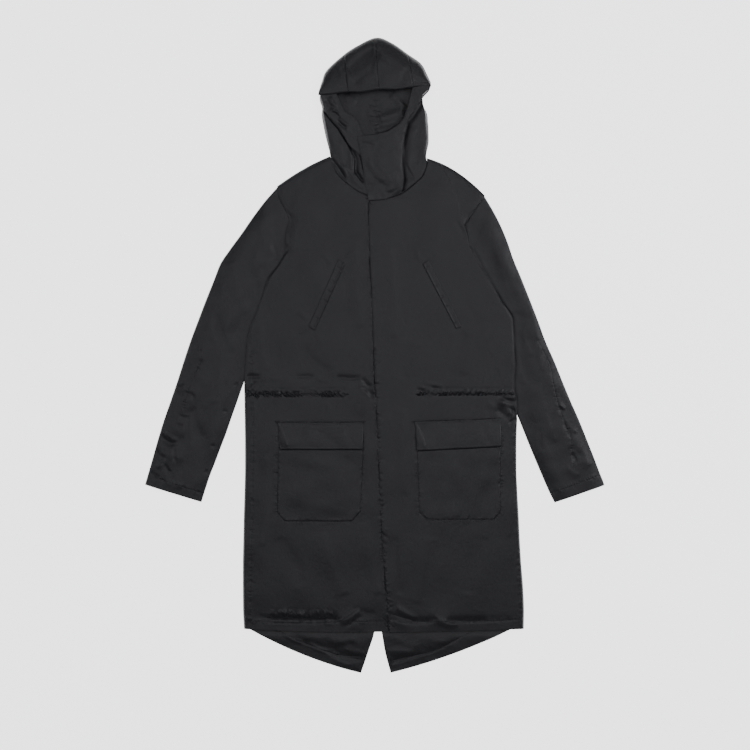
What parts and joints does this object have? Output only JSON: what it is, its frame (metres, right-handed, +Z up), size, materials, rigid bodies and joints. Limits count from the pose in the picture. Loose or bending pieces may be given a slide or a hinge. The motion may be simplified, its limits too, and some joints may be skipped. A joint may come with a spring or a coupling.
{
  "type": "parka",
  "caption": "Dark hooded fishtail parka of thin cloth laid flat, front closed under a fly, gathered waist, slanted chest welts and flap pockets",
  "frame": {"origin": "centre of the garment's outline, on the surface it lies on", "axes": "+Y from the hem to the tip of the hood, +X to the wearer's left, +Z up off the surface"},
  "size_m": [0.965, 1.3332, 0.0212],
  "materials": {
    "shell": "satin"
  },
  "bodies": {
    "root": {"back_right": "shell", "back_left": "shell", "front_right": "shell", "front_left": "shell", "sleeve_right": "shell", "sleeve_left": "shell", "hood_side_right": "shell", "hood_crown_right": "shell", "hood_crown_left": "shell", "hood_side_left": "shell", "collar_side_right": "shell", "collar_side_left": "shell", "collar_facing_right": "shell", "chin_guard_left": "shell", "chest_welt_right": "shell", "chest_welt_left": "shell", "pocket_right": "shell", "pocket_left": "shell", "pocket_flap_right": "shell", "pocket_flap_left": "shell"}
  },
  "joints": []
}
